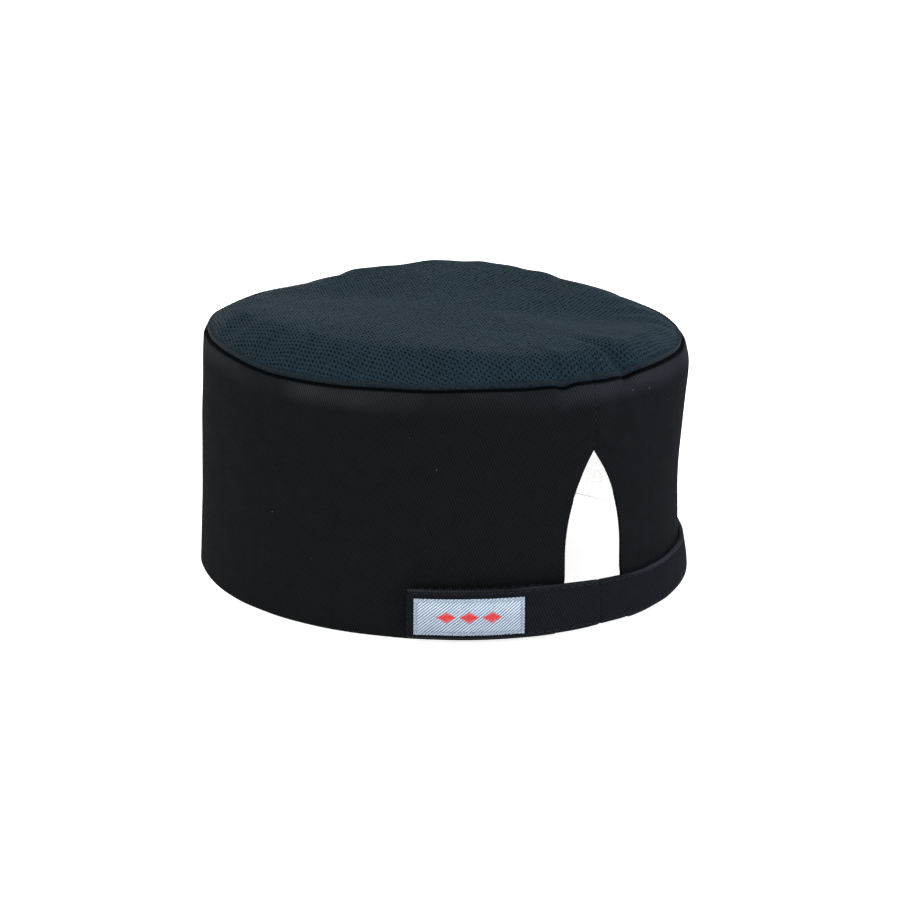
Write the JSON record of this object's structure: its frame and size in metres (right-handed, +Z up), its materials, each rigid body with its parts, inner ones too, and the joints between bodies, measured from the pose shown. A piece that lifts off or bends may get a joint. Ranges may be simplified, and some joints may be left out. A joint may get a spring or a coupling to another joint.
{
  "type": "chef skull cap",
  "caption": "Low chef's cap: upright twill band, mesh crown, arched back opening bridged by a hook-and-loop adjusting strap.",
  "frame": {"origin": "centre of the rim's oval, in the plane of the rim that the cap rests on", "axes": "+Z up to the crown, the wearer faces -Y so the arched opening is at +Y, +X is the wearer's left where the strap's free end lies"},
  "size_m": [0.1838, 0.1996, 0.0975],
  "materials": {
    "crown_mesh": "knitted polyester mesh, matt",
    "black_twill": "black polycotton twill, matt",
    "black_lining": "plain woven lining",
    "black_tape": "woven binding tape",
    "interfacing": "stiff non-woven interfacing",
    "white_terry": "absorbent cotton terry",
    "black_thread": "spun polyester sewing thread",
    "white_thread": "spun polyester sewing thread",
    "loop_tape": "brushed loop pile",
    "hook_tape": "moulded nylon hooks",
    "silver_satin": "silver grey woven satin",
    "silver_thread": "shiny embroidery thread",
    "red_thread": "red woven thread",
    "care_satin": "white printed-label satin, left blank"
  },
  "bodies": {
    "cap": {"crown_panel": "crown_mesh", "crown_binding": "black_tape", "crown_topstitch": "black_thread", "side_band": "black_twill", "band_interfacing": "interfacing", "band_lining": "black_lining", "back_seam_thread": "black_thread", "sweatband": "white_terry", "sweatband_stitching": "white_thread", "loop_patch": "loop_tape", "loop_patch_stitching": "black_thread", "strap_root_shell": "black_twill", "strap_root_core": "interfacing", "strap_root_stitching": "black_thread"},
    "strap_bridge": {"strap_bridge_shell": "black_twill", "strap_bridge_core": "interfacing", "strap_bridge_stitching": "black_thread"},
    "strap_tab": {"strap_tab_shell": "black_twill", "strap_tab_core": "interfacing", "strap_tab_stitching": "black_thread", "hook_patch": "hook_tape", "hook_patch_stitching": "black_thread", "strap_label": "silver_satin", "strap_label_stitching": "silver_thread", "strap_label_motif": "red_thread"},
    "care_tab": {"care_label": "care_satin"}
  },
  "joints": [
    {"name": "strap_swing", "type": "hinge", "parent": "cap", "child": "strap_bridge", "pos_m": [-0.01949, 0.09778, 0.0108], "axis": [0, 0, 1], "range_deg": [0, 100]},
    {"name": "strap_peel", "type": "hinge", "parent": "strap_bridge", "child": "strap_tab", "pos_m": [0.01827, 0.09999, 0.0108], "axis": [0, 0, 1], "range_deg": [0, 80]},
    {"name": "care_label_flap", "type": "hinge", "parent": "cap", "child": "care_tab", "pos_m": [0.08601, 0, 0.0316], "axis": [0, 1, 0], "range_deg": [0, 120]}
  ]
}
